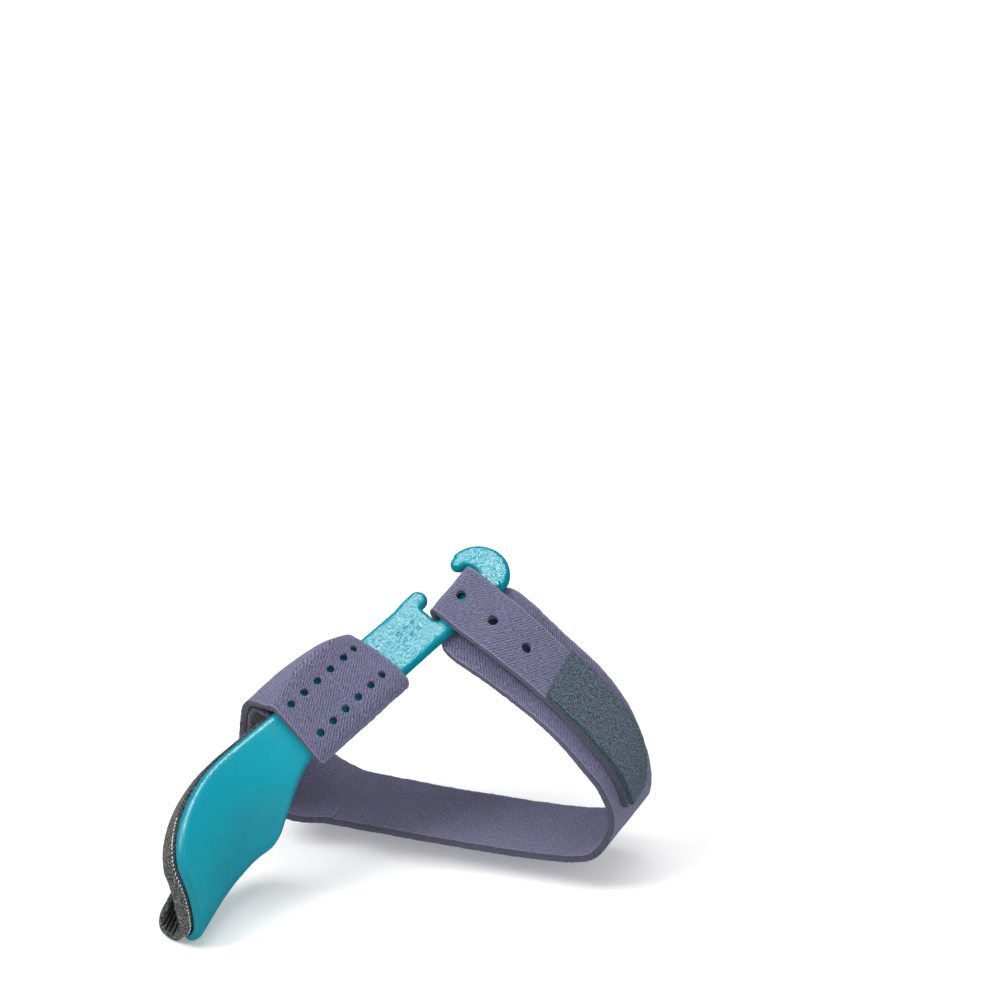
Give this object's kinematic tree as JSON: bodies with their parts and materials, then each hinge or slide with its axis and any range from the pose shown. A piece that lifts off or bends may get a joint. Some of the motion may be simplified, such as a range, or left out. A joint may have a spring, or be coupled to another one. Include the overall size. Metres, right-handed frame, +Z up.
{
  "type": "bunion corrector",
  "caption": "Moulded toe splint with a padded wing, a perforated band round the ball of the foot and a hook-and-loop foot strap.",
  "frame": {"origin": "on the lining's inner face under the middle of the band, where the corrector sits on the foot", "axes": "+X towards the outer side of the left foot, +Y towards the heel, +Z up from the sole"},
  "size_m": [0.0957, 0.1047, 0.0665],
  "materials": {
    "splint_plastic": "glossy moulded teal with a fine orange-peel surface",
    "flocked_foam": "mottled dark grey flocking over foam",
    "loop_fabric": "brushed lavender-grey loop fabric",
    "lining_fabric": "dark grey knitted lining",
    "patch_felt": "slate blue mottled felt over hooks"
  },
  "bodies": {
    "root": {"splint": "splint_plastic", "toe_pad": "flocked_foam", "ball_band": "loop_fabric", "band_lining": "lining_fabric", "foot_strap": "loop_fabric", "fastener_patch": "patch_felt"}
  },
  "joints": []
}
